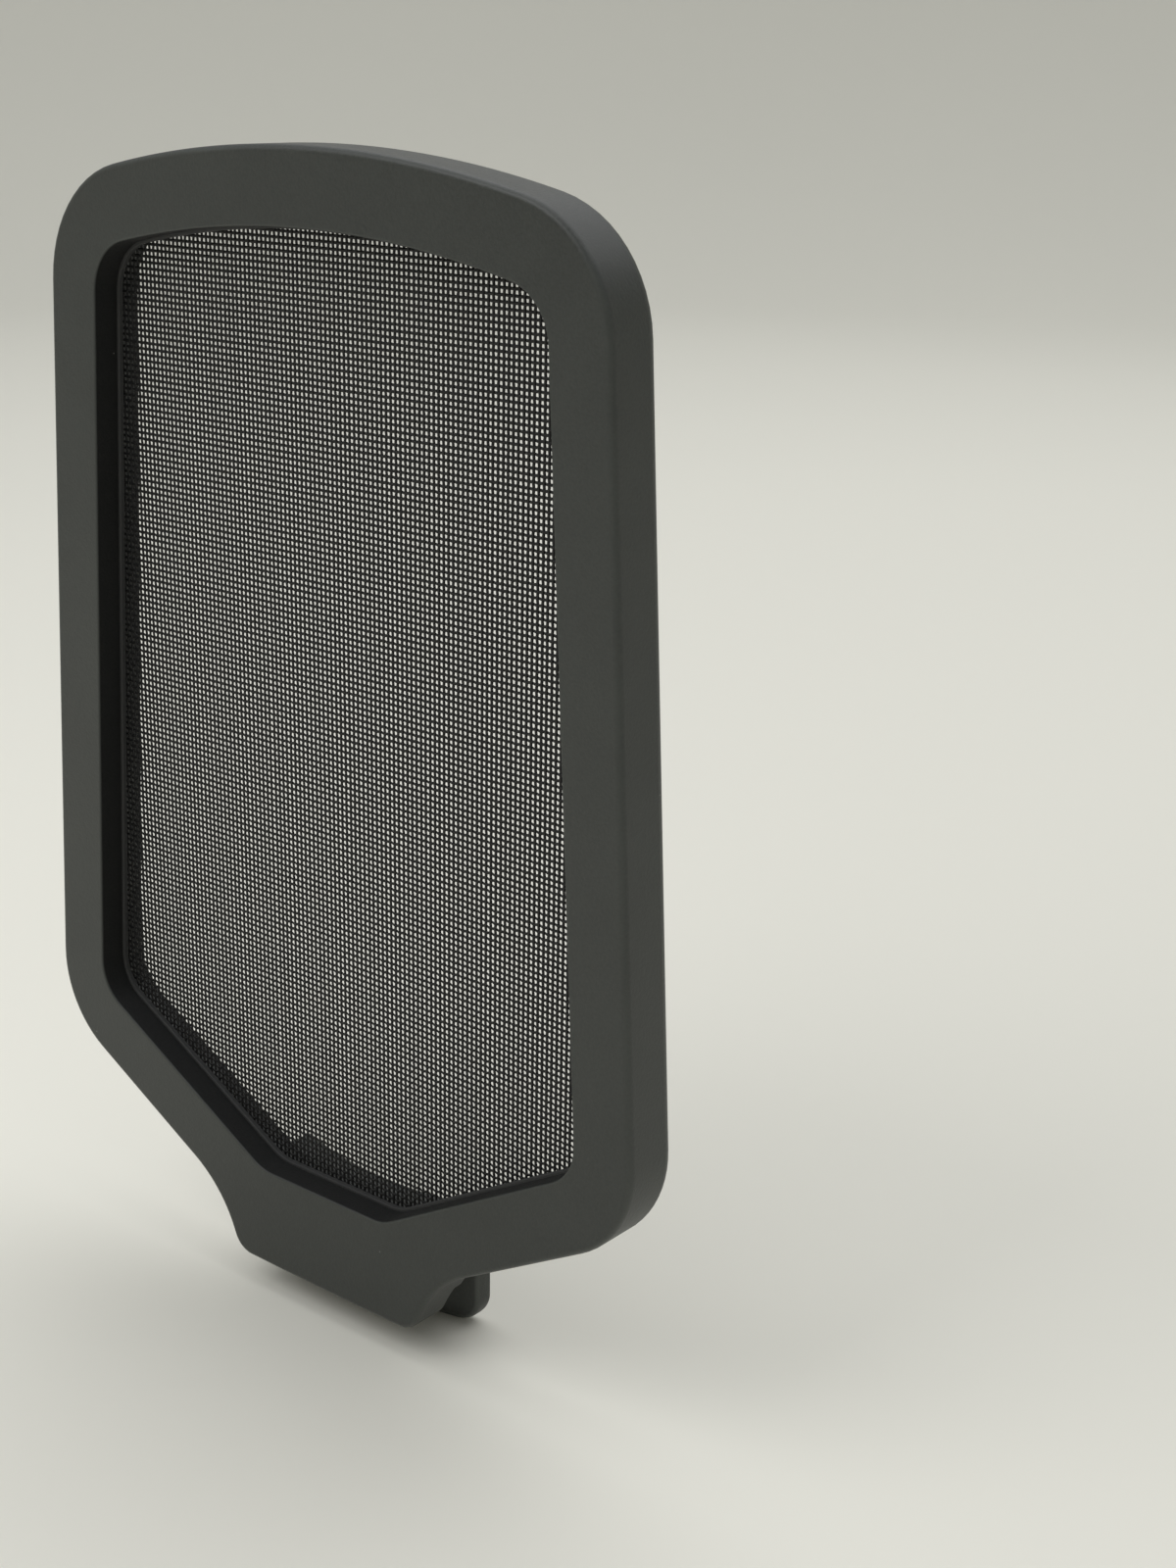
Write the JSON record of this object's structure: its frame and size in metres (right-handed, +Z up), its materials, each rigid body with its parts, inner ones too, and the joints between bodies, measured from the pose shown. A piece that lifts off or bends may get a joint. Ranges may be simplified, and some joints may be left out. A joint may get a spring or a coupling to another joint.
{
  "type": "pop filter",
  "caption": "Shield-shaped pop filter with a fine woven mesh in a moulded frame, with a clip that hooks over the ring of a shock mount.",
  "frame": {"origin": "middle of the seat under the frame that rests on the top edge of the shock mount's ring, half way through the ring's wall", "axes": "+X across the filter, +Y from its face to its back (towards the microphone), +Z up along the filter"},
  "size_m": [0.0772, 0.011, 0.114],
  "materials": {
    "frame_plastic": "fine satin grain, near black",
    "ring_plastic": "plain matt, near black",
    "mesh": "plain-woven black monofilament",
    "screw_steel": "black-oxide steel"
  },
  "bodies": {
    "root": {"front_frame": "frame_plastic", "mesh_ring": "ring_plastic", "mesh_panel": "mesh", "rear_frame": "frame_plastic", "frame_screws": "screw_steel", "clip_jaw": "frame_plastic", "clip_screws": "screw_steel"}
  },
  "joints": []
}
